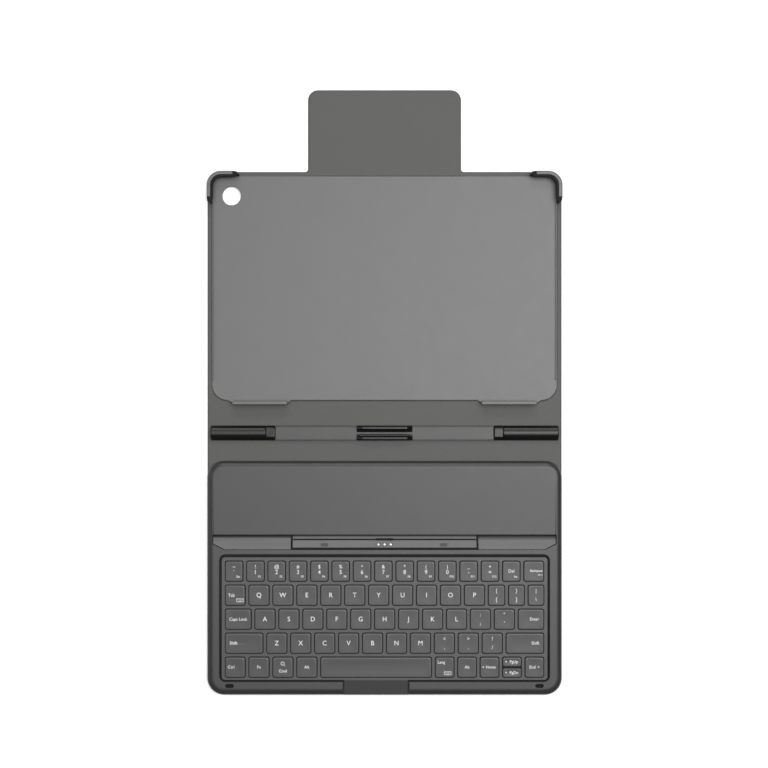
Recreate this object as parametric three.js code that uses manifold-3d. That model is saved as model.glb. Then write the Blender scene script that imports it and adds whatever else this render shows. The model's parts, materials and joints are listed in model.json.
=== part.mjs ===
// Tablet keyboard case, lying open and flat.
// Frame: X to the right, Y from the keyboard's front edge to the closure tongue, Z up, millimetres.
// The origin is the centre of the underside of the whole open case.
import * as THREE from 'three';
import { mergeVertices } from 'three/addons/utils/BufferGeometryUtils.js';
import Module from 'manifold-3d';

const wasm = await Module();
wasm.setup();

// ---------------------------------------------------------------- driving dimensions
const GAP = 0.3;                    // air between two pieces that touch
const OVERCUT = 1;                  // how far a cutter runs past the face that it opens

const CASE_HALF_WIDTH = 130.7;      // cover, from the middle to the left or right edge
const CASE_FRONT = -222.9;          // keyboard's front edge
const CASE_TOP = 162.5;             // cover's top edge, where the tongue starts
const TONGUE_END = 222.9;
const BOARD = 2;                    // board with its skin
const CREASE_HALF = 0.6;            // half of the skin-only strip at a crease

const SPINE_FOLD_Y = -37.7;         // crease behind the keyboard
const STRUT_FOLD_Y = -20.7;         // crease below the tablet
const LID_CREASE_Y = 71.2;          // crease across the tablet's back
const WRAP_FOLD_Y = 165.6;          // tongue folds round the tablet's top edge
const END_FOLD_Y = 185.2;           // tongue folds under the keyboard

const LID_CORNER = 10.5;
const TONGUE_HALF_WIDTH = 56.5;
const TONGUE_CORNER = 7.5;

const CAMERA = { x: -112.8, y: 144.6, radius: 6.85 };

const SHELL_HALF_WIDTH = 127.6;
const SHELL_BOTTOM = -6.6;
const SHELL_TOP = 159.6;
const SHELL_Z = BOARD + GAP;        // underside of the tablet shell
const SHELL_FLOOR = 1.2;
const SHELL_RIM = { width: 1.1, height: 2.7, front: 12, rear: 139.6 };
const SHELL_CORNER = { front: 12, rear: 8 };
const LIP = { inner: 71, outer: 111.9, innerSlant: 2.1, outerSlant: 3.7, depth: 2.6 };
const HOLDER_TOP = 11.7;            // top of the lips and of the corner bumpers
const BUMPER = { length: 24, wall: 2.4, lip: 2.4, lipHeight: 0.8, taper: 5, step: 0.4, setBack: 0.2 };

const DECK_HALF_WIDTH = 130.5;
const DECK_REAR = -50.9;
const DECK_TOP = 8;
const DECK_WALL = 2;
const DECK_BEVEL = { width: 4, height: 3.2 };
const DECK_CORNER_REAR = 12;
const DECK_CORNER_FRONT = 17;
const CHAMBER = { wall: 6, rearWall: 6, top: 6.4 };    // hollow under the shelf
const BOTTOM_CASE = 0.8;

const GROOVE = { rear: -105.7, front: -116.3, halfWidth: 127.3, chamferX: 8.4, chamferY: 4.2 };
const DOCK_TILT = 23.5;             // degrees that the docked tablet's lower edge slopes up to the front
const DOCK_BAR_HALF_WIDTH = 68.4;
const PIN = { y: -112, pitch: 4.5, radius: 0.95, out: 0.9, length: 3.4, holeLow: -6, holeHigh: 3 };

const WELL = { halfWidth: 121.6, rear: -119.3, front: -213.3, corner: 4.5, ledge: 6.9 };
const PLATE = { halfWidth: 119.9, rear: -121.6, front: -211.9, corner: 2.5 };
const NOTCH = { left: -29.8, right: 17.2 };
const PLATE_TOP = 6.2;
const PLATE_THICKNESS = 1.2;

const KEY_LEFT = -117.4;            // left edge of every row's first key hole
const ROW_1_Y = -131.8;             // middle of the number row
const ROW_PITCH = 17.65;
const HOLE_DEPTH = 15.5;            // a key hole, front to rear
const BETWEEN_HOLES = 2.15;
const CAP_CLEARANCE = 0.45;
const CAP_TOP = 7.6;
const CAP_BOTTOM = 5.9;
const KEY_CORNER = 1.7;
const WEB_DEPTH = 3;                // strip that joins the caps of a grouped row
const WEB_HEIGHT = 0.6;
const WEB_START = 3;                // how far inside its end keys a web stops
const HALF_KEY_GAP = 0.7;           // half of the gap between the two page keys

const DECK_Z = BOARD + GAP;
const INSIDE_Z = DECK_Z + BOTTOM_CASE + GAP;   // lowest level inside the keyboard
const SUPPORT_SHEET = 0.4;
const DOME_SHEET = 0.3;
const CONTROLLER = { halfWidth: 45, front: -98, rear: -70, thickness: 1 };

// ---------------------------------------------------------------- colours and finishes
const FINISH = {
  cover: { color: 0x6c6c68, roughness: 0.75, metalness: 0 },
  shell: { color: 0x7e7e7e, roughness: 0.45, metalness: 0 },
  deck: { color: 0x696969, roughness: 0.5, metalness: 0 },
  key: { color: 0x5c5c5c, roughness: 0.6, metalness: 0 },
  dock: { color: 0x787878, roughness: 0.45, metalness: 0 },
  black: { color: 0x1d1d1d, roughness: 0.35, metalness: 0 },
  rubber: { color: 0x151515, roughness: 0.8, metalness: 0 },
  steel: { color: 0x9a9c9f, roughness: 0.4, metalness: 1 },
  gold: { color: 0xe0b860, roughness: 0.25, metalness: 1 },
  board: { color: 0x1f5a38, roughness: 0.6, metalness: 0 },
  membrane: { color: 0x303030, roughness: 0.6, metalness: 0 },
};

const object = new THREE.Group();

function piece(name, geometry, finish) {
  const mesh = new THREE.Mesh(geometry, new THREE.MeshStandardMaterial(FINISH[finish]));
  mesh.name = name;
  object.add(mesh);
  return mesh;
}

// ---------------------------------------------------------------- shapes
// A closed outline from [x, y, radius] corners, each corner rounded by its radius.
function traceOutline(path, corners) {
  const ROUND = 0.5523;             // handle length of a Bezier quarter circle
  const count = corners.length;
  for (let i = 0; i < count; i += 1) {
    const [x, y, radius = 0] = corners[i];
    const corner = new THREE.Vector2(x, y);
    const before = new THREE.Vector2(...corners[(i + count - 1) % count]);
    const after = new THREE.Vector2(...corners[(i + 1) % count]);
    const start = corner.clone().add(before.sub(corner).setLength(radius));
    const end = corner.clone().add(after.sub(corner).setLength(radius));
    if (i === 0) path.moveTo(start.x, start.y);
    else path.lineTo(start.x, start.y);
    if (radius > 0) {
      const a = start.clone().lerp(corner, ROUND);
      const b = end.clone().lerp(corner, ROUND);
      path.bezierCurveTo(a.x, a.y, b.x, b.y, end.x, end.y);
    }
  }
  path.closePath();
  return path;
}

function rectangle(x0, y0, x1, y1, frontRadius = 0, rearRadius = frontRadius) {
  return [[x0, y0, frontRadius], [x1, y0, frontRadius], [x1, y1, rearRadius], [x0, y1, rearRadius]];
}

// A flat plate lying in XY between two heights, with holes given as lists of corners.
function plate(corners, z0, z1, { segments = 6, holes = [] } = {}) {
  const shape = traceOutline(new THREE.Shape(), corners);
  shape.holes = holes.map((hole) => traceOutline(new THREE.Path(), hole));
  const options = { depth: z1 - z0, bevelEnabled: false, curveSegments: segments };
  return new THREE.ExtrudeGeometry(shape, options).translate(0, 0, z0);
}

function box(x0, y0, z0, x1, y1, z1) {
  const geometry = new THREE.BoxGeometry(x1 - x0, y1 - y0, z1 - z0);
  return geometry.translate((x0 + x1) / 2, (y0 + y1) / 2, (z0 + z1) / 2);
}

// A section in the YZ plane, given as [y, z, radius] corners, drawn out along X.
function alongX(section, x0, x1, segments = 4) {
  const toX = new THREE.Matrix4().makeBasis(
    new THREE.Vector3(0, 1, 0), new THREE.Vector3(0, 0, 1), new THREE.Vector3(1, 0, 0));
  return plate(section, x0, x1, { segments }).applyMatrix4(toX);
}

function upright(radius, x, y, z0, z1, sides = 24) {
  return new THREE.CylinderGeometry(radius, radius, z1 - z0, sides)
    .rotateX(Math.PI / 2).translate(x, y, (z0 + z1) / 2);
}

// ---------------------------------------------------------------- cutting and joining
function solid(geometry) {
  const bare = geometry.clone();
  bare.deleteAttribute('normal');
  bare.deleteAttribute('uv');
  const merged = mergeVertices(bare, 1e-5);
  const vertProperties = new Float32Array(merged.attributes.position.array);
  const triVerts = new Uint32Array(merged.index.array);
  return new wasm.Manifold(new wasm.Mesh({ numProp: 3, vertProperties, triVerts }));
}

function fromSolid(manifold) {
  const mesh = manifold.getMesh();
  const geometry = new THREE.BufferGeometry();
  geometry.setAttribute('position', new THREE.BufferAttribute(new Float32Array(mesh.vertProperties), 3));
  geometry.setIndex(new THREE.BufferAttribute(new Uint32Array(mesh.triVerts), 1));
  geometry.computeVertexNormals();
  return geometry;
}

function cut(body, ...tools) {
  return fromSolid(tools.reduce((left, tool) => left.subtract(solid(tool)), solid(body)));
}

function join(...bodies) {
  return fromSolid(bodies.slice(1).reduce((sum, body) => sum.add(solid(body)), solid(bodies[0])));
}

function overlapOf(a, b) {
  return fromSolid(solid(a).intersect(solid(b)));
}

// ---------------------------------------------------------------- cover boards
function coverBoards() {
  const w = CASE_HALF_WIDTH;
  const base = rectangle(-w, CASE_FRONT, w, SPINE_FOLD_Y - CREASE_HALF, DECK_CORNER_FRONT, 0);
  const spine = rectangle(-w, SPINE_FOLD_Y + CREASE_HALF, w, STRUT_FOLD_Y - CREASE_HALF);
  const strut = rectangle(-w, STRUT_FOLD_Y + CREASE_HALF, w, LID_CREASE_Y - CREASE_HALF);
  piece('base_cover', plate(base, 0, BOARD), 'cover');
  piece('spine_board', plate(spine, 0, BOARD), 'cover');
  piece('strut_board', plate(strut, 0, BOARD), 'cover');

  const t = TONGUE_HALF_WIDTH;
  const lidEnd = WRAP_FOLD_Y - CREASE_HALF;
  const lid = [[-w, LID_CREASE_Y + CREASE_HALF], [w, LID_CREASE_Y + CREASE_HALF], [w, CASE_TOP, LID_CORNER],
    [t, CASE_TOP], [t, lidEnd], [-t, lidEnd], [-t, CASE_TOP], [-w, CASE_TOP, LID_CORNER]];
  const lens = upright(CAMERA.radius, CAMERA.x, CAMERA.y, -OVERCUT, BOARD + OVERCUT);
  piece('lid_board', cut(plate(lid, 0, BOARD), lens), 'cover');
}

function closureTongue() {
  const t = TONGUE_HALF_WIDTH;
  const wrap = rectangle(-t, WRAP_FOLD_Y + CREASE_HALF, t, END_FOLD_Y - CREASE_HALF);
  piece('tongue_wrap_board', plate(wrap, 0, BOARD), 'cover');

  const magnet = { halfWidth: 40, front: 196, rear: 214, z: 0.9, top: 1.8 };
  const end = plate(rectangle(-t, END_FOLD_Y + CREASE_HALF, t, TONGUE_END, 0, TONGUE_CORNER), 0, BOARD);
  const pocket = box(-magnet.halfWidth - GAP, magnet.front - GAP, magnet.z - GAP,
    magnet.halfWidth + GAP, magnet.rear + GAP, BOARD + OVERCUT);
  piece('tongue_end_board', cut(end, pocket), 'cover');
  piece('tongue_magnet', plate(rectangle(-magnet.halfWidth, magnet.front, magnet.halfWidth, magnet.rear, 1.5),
    magnet.z, magnet.top, { segments: 2 }), 'steel');
}

// ---------------------------------------------------------------- tablet holder
// Floor outline: straight sides, round corners, and two tabs at the bottom that carry the lips.
function shellOutline() {
  const w = SHELL_HALF_WIDTH;
  const tab = SHELL_BOTTOM - LIP.depth;
  const rightTab = [[LIP.inner - LIP.innerSlant, SHELL_BOTTOM], [LIP.inner, tab], [LIP.outer, tab],
    [LIP.outer + LIP.outerSlant, SHELL_BOTTOM]];
  const leftTab = rightTab.map(([x, y]) => [-x, y]).reverse();
  return [[-w, SHELL_BOTTOM, SHELL_CORNER.front], ...leftTab, ...rightTab,
    [w, SHELL_BOTTOM, SHELL_CORNER.front], [w, SHELL_TOP, SHELL_CORNER.rear], [-w, SHELL_TOP, SHELL_CORNER.rear]];
}

function tabletShell() {
  const floorTop = SHELL_Z + SHELL_FLOOR;
  const floor = plate(shellOutline(), SHELL_Z, floorTop);
  const lips = [-1, 1].map((side) => {
    const x0 = Math.min(side * LIP.inner, side * LIP.outer);
    const x1 = Math.max(side * LIP.inner, side * LIP.outer);
    return box(x0, SHELL_BOTTOM - LIP.depth, SHELL_Z + SHELL_FLOOR / 2, x1, SHELL_BOTTOM, HOLDER_TOP);
  });
  const rims = [-1, 1].map((side) => {
    const outside = side * SHELL_HALF_WIDTH;
    const inside = side * (SHELL_HALF_WIDTH - SHELL_RIM.width);
    return box(Math.min(outside, inside), SHELL_RIM.front, SHELL_Z + SHELL_FLOOR / 2,
      Math.max(outside, inside), SHELL_RIM.rear, SHELL_Z + SHELL_RIM.height);
  });
  const lens = upright(CAMERA.radius, CAMERA.x, CAMERA.y, SHELL_Z - OVERCUT, floorTop + OVERCUT);
  piece('tablet_shell', cut(join(floor, ...lips, ...rims), lens), 'shell');
}

// A soft hook round one top corner: a wall outside the tablet and a thin lip over its face.
function cornerBumper(name, side) {
  const { length, wall, lip, lipHeight, taper, step, setBack } = BUMPER;
  const outer = CASE_HALF_WIDTH - setBack;
  const top = CASE_TOP - setBack;
  const depth = wall + lip;
  const end = outer - length;
  const low = top - length;
  const block = plate([[outer, low], [outer, top, LID_CORNER], [end, top],
    [end, top - wall - step], [end + taper, top - depth],
    [outer - depth, top - depth, LID_CORNER - depth],
    [outer - depth, low + taper], [outer - wall - step, low]], SHELL_Z, HOLDER_TOP);
  const seat = plate([[0, 0], [outer - wall, 0], [outer - wall, top - wall, LID_CORNER - wall],
    [0, top - wall]], SHELL_Z - OVERCUT, HOLDER_TOP - lipHeight);
  const right = cut(block, seat);
  piece(name, side > 0 ? right : mirrored(right), 'black');
}

// The same shape on the other side of the YZ plane, with its faces still pointing out.
function mirrored(geometry) {
  const copy = geometry.clone().scale(-1, 1, 1);
  const index = copy.index.array;
  for (let i = 0; i < index.length; i += 3) {
    const swap = index[i];
    index[i] = index[i + 1];
    index[i + 1] = swap;
  }
  copy.computeVertexNormals();
  return copy;
}

// ---------------------------------------------------------------- stylus holder on the spine
const STYLUS_Y = -30.2;             // middle of the holder
const STYLUS_HALF_WIDTH = 5.5;
const STYLUS_HALF_LENGTH = 128.4;
const STYLUS_Z = BOARD + GAP;
const TRAY = { halfLength: 80.4, rim: 0.9, floor: 3.5, top: 4.3 };
const HOOD = { inner: 87, straight: 3.3, top: 7.2, steps: 12 };
const STOP = { inner: 80.7, top: 5.8, slopeWidth: 2.2, slopeHeight: 1.6 };
const CLIP = { halfLength: 20.6, shoulder: 6, top: 8, crestHalf: 4.5, barrel: 3.7 };

function stylusTray() {
  const rear = STYLUS_Y + STYLUS_HALF_WIDTH;
  const front = STYLUS_Y - STYLUS_HALF_WIDTH;
  const { halfLength, rim, floor, top } = TRAY;
  const section = [[front, STYLUS_Z], [rear, STYLUS_Z], [rear, top], [rear - rim, top], [rear - rim, floor],
    [front + rim, floor], [front + rim, top], [front, top]];
  const half = CLIP.halfLength + GAP;
  const clipSeat = box(-half, front - OVERCUT, floor, half, rear + OVERCUT, top + OVERCUT);
  piece('stylus_channel', cut(alongX(section, -halfLength, halfLength), clipSeat), 'deck');
}

// Black end caps: a long rounded hood, and a lower square stop that faces the stylus.
function stylusCaps() {
  const w = STYLUS_HALF_WIDTH;
  const arch = [];
  for (let i = 0; i <= HOOD.steps; i += 1) {
    const angle = Math.PI * i / HOOD.steps;
    arch.push([STYLUS_Y + w * Math.cos(angle), HOOD.straight + (HOOD.top - HOOD.straight) * Math.sin(angle)]);
  }
  const hood = [[STYLUS_Y - w, STYLUS_Z], [STYLUS_Y + w, STYLUS_Z], ...arch];
  const shoulder = STOP.top - STOP.slopeHeight;
  const flat = w - STOP.slopeWidth;
  const stop = [[STYLUS_Y - w, STYLUS_Z], [STYLUS_Y + w, STYLUS_Z], [STYLUS_Y + w, shoulder],
    [STYLUS_Y + flat, STOP.top], [STYLUS_Y - flat, STOP.top], [STYLUS_Y - w, shoulder]];
  const right = join(alongX(hood, HOOD.inner, STYLUS_HALF_LENGTH), alongX(stop, STOP.inner, HOOD.inner));
  piece('stylus_cap_left', mirrored(right), 'black');
  piece('stylus_cap_right', right, 'black');
}

function stylusClip() {
  const w = STYLUS_HALF_WIDTH;
  const { halfLength, shoulder, top, crestHalf, barrel } = CLIP;
  const bed = TRAY.floor + GAP;
  const jaws = [[STYLUS_Y - w, bed], [STYLUS_Y + w, bed], [STYLUS_Y + w, shoulder],
    [STYLUS_Y + crestHalf, top], [STYLUS_Y - crestHalf, top], [STYLUS_Y - w, shoulder]];
  const pen = new THREE.CylinderGeometry(barrel, barrel, 2 * (halfLength + OVERCUT), 24)
    .rotateZ(Math.PI / 2).translate(0, STYLUS_Y, top);
  piece('stylus_clip', cut(alongX(jaws, -halfLength, halfLength), pen), 'black');
}

// ---------------------------------------------------------------- keyboard housing
function grooveOutline(inset) {
  const w = GROOVE.halfWidth - inset;
  const rear = GROOVE.rear - inset;
  const front = GROOVE.front + inset;
  return [[-w, rear], [-w, front + GROOVE.chamferY], [-w + GROOVE.chamferX, front],
    [w - GROOVE.chamferX, front], [w, front + GROOVE.chamferY], [w, rear]];
}

const FOOT = { x: 113.9, y: -215.9, halfLength: 3.1, halfWidth: 1.45, top: 8.4, sunk: 0.4 };

function footOutline(side, grow) {
  const x = side * FOOT.x;
  const length = FOOT.halfLength + grow;
  const width = FOOT.halfWidth + grow;
  return rectangle(x - length, FOOT.y - width, x + length, FOOT.y + width, width);
}

// Outline of the key plate, grown on every side.
function plateOutline(grow) {
  const w = PLATE.halfWidth + grow;
  return rectangle(-w, PLATE.front - grow, w, PLATE.rear + grow, PLATE.corner + grow);
}

function deckFrame() {
  const w = DECK_HALF_WIDTH;
  const bevel = DECK_BEVEL;
  const corners = rectangle(-w, CASE_FRONT, w, DECK_REAR, DECK_CORNER_FRONT, DECK_CORNER_REAR);
  const shape = traceOutline(new THREE.Shape(), corners);
  const block = new THREE.ExtrudeGeometry(shape, {
    depth: DECK_TOP - DECK_Z - bevel.height,
    curveSegments: 8,
    bevelThickness: bevel.height,
    bevelSize: bevel.width,
    bevelOffset: -bevel.width,
    bevelSegments: 2,
  }).translate(0, 0, DECK_Z);
  const aboveCover = box(-w, CASE_FRONT, DECK_Z, w, DECK_REAR, DECK_TOP + OVERCUT);

  const inner = w - DECK_WALL;
  const seat = plate(rectangle(-inner, CASE_FRONT + DECK_WALL, inner, DECK_REAR - DECK_WALL,
    DECK_CORNER_FRONT - DECK_WALL, DECK_CORNER_REAR - DECK_WALL), DECK_Z - OVERCUT, INSIDE_Z);
  const chamber = box(-w + CHAMBER.wall, GROOVE.rear + DECK_WALL, INSIDE_Z - OVERCUT,
    w - CHAMBER.wall, DECK_REAR - CHAMBER.rearWall, CHAMBER.top);
  const groove = plate(grooveOutline(0), INSIDE_Z - OVERCUT, DECK_TOP + OVERCUT);
  const well = plate(rectangle(-WELL.halfWidth, WELL.front, WELL.halfWidth, WELL.rear, WELL.corner),
    WELL.ledge, DECK_TOP + OVERCUT, { segments: 3 });
  const shaft = plate(plateOutline(GAP), INSIDE_Z - OVERCUT, WELL.ledge + OVERCUT, { segments: 3 });
  const notch = box(NOTCH.left, CASE_FRONT - OVERCUT, PLATE_TOP, NOTCH.right, WELL.front + OVERCUT,
    DECK_TOP + OVERCUT);
  const feet = [-1, 1].map((side) => plate(footOutline(side, GAP), DECK_TOP - FOOT.sunk - GAP,
    DECK_TOP + OVERCUT, { segments: 3 }));
  const body = overlapOf(block, aboveCover);
  piece('deck_frame', cut(body, seat, chamber, groove, well, shaft, notch, ...feet), 'deck');
}

function rubberFeet() {
  for (const [name, side] of [['rubber_foot_left', -1], ['rubber_foot_right', 1]]) {
    piece(name, plate(footOutline(side, 0), DECK_TOP - FOOT.sunk, FOOT.top, { segments: 3 }), 'rubber');
  }
}

function bottomCase() {
  const inset = DECK_WALL + GAP;
  const w = DECK_HALF_WIDTH - inset;
  const corners = rectangle(-w, CASE_FRONT + inset, w, DECK_REAR - inset,
    DECK_CORNER_FRONT - inset, DECK_CORNER_REAR - inset);
  piece('bottom_case', plate(corners, DECK_Z, DECK_Z + BOTTOM_CASE), 'deck');
}

function innerLayers() {
  const sheet = plateOutline(-1);
  const domes = INSIDE_Z + SUPPORT_SHEET + GAP;
  const { halfWidth, front, rear, thickness } = CONTROLLER;
  const board = INSIDE_Z + GAP;
  piece('key_support_plate', plate(sheet, INSIDE_Z, INSIDE_Z + SUPPORT_SHEET), 'steel');
  piece('dome_membrane', plate(sheet, domes, domes + DOME_SHEET), 'membrane');
  piece('controller_board', box(-halfWidth, front, board, halfWidth, rear, board + thickness), 'board');
}

// ---------------------------------------------------------------- dock
const RAMP = Math.tan(THREE.MathUtils.degToRad(DOCK_TILT));
const BAR = {
  rear: -106.1,
  strip: -108,
  stripTop: 6.5,
  slot: 5.3,
  rampRear: -108.7,
  rampLow: 7.35,
  rampFront: -114,
  front: -115.9,
  frontDrop: 1,
};
const LEDGE = { valley: -107.2, valleyTop: 4.2, rearTop: 7.2, gap: 0.5 };
const RECESS = { halfWidth: 6.6, rear: -107.9, front: -109.1, floor: 4.6 };
const CONTACT_BLOCK = { halfWidth: 6.7, front: -114.3, rear: -109.9, top: 6.6 };
const DOCK_MAGNET = { inner: 36, outer: 54, front: -114.2, rear: -110.2, top: 5.6 };
const DOCK_PART_Z = INSIDE_Z + GAP;

function rampHeight(y) {
  return BAR.rampLow + (BAR.rampRear - y) * RAMP;
}

function dockLedges() {
  const rear = GROOVE.rear - GAP;
  const front = GROOVE.front + GAP;
  const { valley, valleyTop, rearTop } = LEDGE;
  const section = [[rear, INSIDE_Z], [front, INSIDE_Z], [front, valleyTop + (valley - front) * RAMP],
    [valley, valleyTop], [rear, rearTop]];
  const inner = DOCK_BAR_HALF_WIDTH + LEDGE.gap;
  const outline = plate(grooveOutline(GAP), INSIDE_Z - OVERCUT, DECK_TOP + OVERCUT);
  const wedge = alongX(section.reverse(), inner, GROOVE.halfWidth);
  const right = overlapOf(wedge, outline);
  piece('dock_ledge_left', mirrored(right), 'dock');
  piece('dock_ledge_right', right, 'dock');
}

// A cylinder square to the ramp, from one height above the ramp to another.
function pinCylinder(x, radius, low, high) {
  const tilt = THREE.MathUtils.degToRad(DOCK_TILT);
  return new THREE.CylinderGeometry(radius, radius, high - low, 12)
    .translate(0, (low + high) / 2, 0).rotateX(Math.PI / 2 - tilt).translate(x, PIN.y, rampHeight(PIN.y));
}

function dockBar(holes) {
  const half = DOCK_BAR_HALF_WIDTH;
  const { rear, front, strip, stripTop, slot, rampRear, rampFront, frontDrop } = BAR;
  const section = [[rear, INSIDE_Z], [rear, stripTop], [strip, stripTop], [strip, slot], [rampRear, slot],
    [rampRear, rampHeight(rampRear)], [rampFront, rampHeight(rampFront)],
    [front, rampHeight(rampFront) - frontDrop], [front, INSIDE_Z]];
  const pocket = (part, x0, x1) => box(x0 - GAP, part.front - GAP, INSIDE_Z - OVERCUT,
    x1 + GAP, part.rear + GAP, part.top + GAP);
  const recess = box(-RECESS.halfWidth, RECESS.front, RECESS.floor, RECESS.halfWidth, RECESS.rear,
    DECK_TOP + OVERCUT);
  piece('dock_bar', cut(alongX(section.reverse(), -half, half), recess,
    pocket(CONTACT_BLOCK, -CONTACT_BLOCK.halfWidth, CONTACT_BLOCK.halfWidth),
    pocket(DOCK_MAGNET, DOCK_MAGNET.inner, DOCK_MAGNET.outer),
    pocket(DOCK_MAGNET, -DOCK_MAGNET.outer, -DOCK_MAGNET.inner), ...holes), 'dock');
}

function dockContacts(holes, pins) {
  const { halfWidth, front, rear, top } = CONTACT_BLOCK;
  const insulator = box(-halfWidth, front, DOCK_PART_Z, halfWidth, rear, top);
  piece('pogo_block', cut(insulator, ...holes), 'black');
  for (const [name, x] of pins) {
    piece(name, pinCylinder(x, PIN.radius, PIN.out - PIN.length, PIN.out), 'gold');
  }
}

function dockMagnets() {
  const { inner, outer, front, rear, top } = DOCK_MAGNET;
  for (const [name, x0, x1] of [['dock_magnet_left', -outer, -inner], ['dock_magnet_right', inner, outer]]) {
    piece(name, box(x0, front, DOCK_PART_Z, x1, rear, top), 'steel');
  }
}

function dock() {
  const pins = [['pogo_pin_left', -PIN.pitch], ['pogo_pin_centre', 0], ['pogo_pin_right', PIN.pitch]];
  const holes = pins.map(([, x]) => pinCylinder(x, PIN.radius + GAP, PIN.holeLow, PIN.holeHigh));
  dockBar(holes);
  dockContacts(holes, pins);
  dockMagnets();
}

// ---------------------------------------------------------------- keys
// Each row lists its keys from the left as [name, width of the key hole].
const LETTER_HOLE = 15.45;
const NUMBER_HOLE = 13.53;
const END_HOLE = 14.35;

function letters(text, width = LETTER_HOLE) {
  return [...text].map((letter) => [letter, width]);
}

const KEY_ROWS = [
  [...letters('`1234567890-=', NUMBER_HOLE), ['delete', NUMBER_HOLE], ['backspace', 15.2]],
  [['tab', 15.2], ...letters('qwertyuiop'), ['bracket_open', 12.7], ['bracket_close', 12.3],
    ['backslash', 12.2]],
  [['caps_lock', 19.6], ...letters('asdfghjkl;\''), ['enter', 19.4]],
  [['shift_left', 28.3], ...letters('zxcvbnm'), ['comma', LETTER_HOLE], ['period', LETTER_HOLE],
    ['slash', LETTER_HOLE], ['shift_right', 28.3]],
  [['ctrl', 15.2], ['fn', LETTER_HOLE], ['cmd', LETTER_HOLE], ['alt_left', LETTER_HOLE], ['space', 82.1],
    ['language', END_HOLE], ['alt_right', END_HOLE], ['home', END_HOLE], ['page', END_HOLE],
    ['end', END_HOLE]],
];
// Keys of the first three rows that are pieces of their own; the row's other keys share one node.
const OWN_KEYS = ['tab', 'caps_lock', 'enter'];
const GROUP_NAMES = ['keys_number_row', 'keys_upper_row', 'keys_home_row'];

// Every key hole as { name, row, x0, x1, y0, y1 }. The page key is two half keys in one hole.
function keyHoles() {
  const holes = [];
  KEY_ROWS.forEach((keys, row) => {
    const middle = ROW_1_Y - row * ROW_PITCH;
    let x0 = KEY_LEFT;
    for (const [name, width] of keys) {
      holes.push({ name, row, x0, x1: x0 + width, y0: middle - HOLE_DEPTH / 2, y1: middle + HOLE_DEPTH / 2 });
      x0 += width + BETWEEN_HOLES;
    }
  });
  return holes;
}

function capPlate({ x0, x1, y0, y1 }) {
  const c = CAP_CLEARANCE;
  const outline = rectangle(x0 + c, y0 + c, x1 - c, y1 - c, KEY_CORNER - c);
  return plate(outline, CAP_BOTTOM, CAP_TOP, { segments: 1 });
}

function isOwn(hole) {
  return hole.row >= GROUP_NAMES.length || OWN_KEYS.includes(hole.name);
}

// Where the web of a grouped row crosses from one key hole to the next.
function groupWebs(holes, row, grow) {
  const members = holes.filter((hole) => hole.row === row && !isOwn(hole));
  const middle = (members[0].y0 + members[0].y1) / 2;
  const half = WEB_DEPTH / 2 + grow;
  const x0 = members[0].x0 + WEB_START;
  const x1 = members.at(-1).x1 - WEB_START;
  return { members, x0, x1, y0: middle - half, y1: middle + half };
}

function keyPlate(holes) {
  const openings = holes.map((hole) => rectangle(hole.x0, hole.y0, hole.x1, hole.y1, KEY_CORNER));
  const underside = PLATE_TOP - PLATE_THICKNESS;
  const sheet = plate(plateOutline(0), underside, PLATE_TOP, { segments: 1, holes: openings });
  const slots = GROUP_NAMES.map((_, row) => {
    const web = groupWebs(holes, row, GAP);
    return box(web.x0, web.y0, underside - OVERCUT, web.x1, web.y1, PLATE_TOP + OVERCUT);
  });
  piece('key_plate', cut(sheet, ...slots), 'key');
}

function keys() {
  const holes = keyHoles();
  keyPlate(holes);
  GROUP_NAMES.forEach((name, row) => {
    const web = groupWebs(holes, row, 0);
    const strip = box(web.x0, web.y0, CAP_BOTTOM, web.x1, web.y1, CAP_BOTTOM + WEB_HEIGHT);
    piece(name, join(strip, ...web.members.map(capPlate)), 'key');
  });
  for (const hole of holes.filter(isOwn)) {
    if (hole.name === 'page') {
      const middle = (hole.y0 + hole.y1) / 2;
      const offset = HALF_KEY_GAP - CAP_CLEARANCE;
      piece('key_page_up', capPlate({ ...hole, y0: middle + offset }), 'key');
      piece('key_page_down', capPlate({ ...hole, y1: middle - offset }), 'key');
    } else {
      piece(`key_${hole.name}`, capPlate(hole), 'key');
    }
  }
}

coverBoards();
closureTongue();
tabletShell();
cornerBumper('corner_bumper_left', -1);
cornerBumper('corner_bumper_right', 1);
stylusTray();
stylusCaps();
stylusClip();
bottomCase();
deckFrame();
rubberFeet();
innerLayers();
dockLedges();
dock();
keys();

export default object;
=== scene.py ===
"""Looks of the tablet keyboard case: soft cover, tablet tray, stylus holder and keyboard.

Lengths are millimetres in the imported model's frame, and become metres where a mesh is made. The studio and
the camera are in metres."""
import json
import math

import bmesh
import bpy
from mathutils import Matrix, Vector


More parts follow.
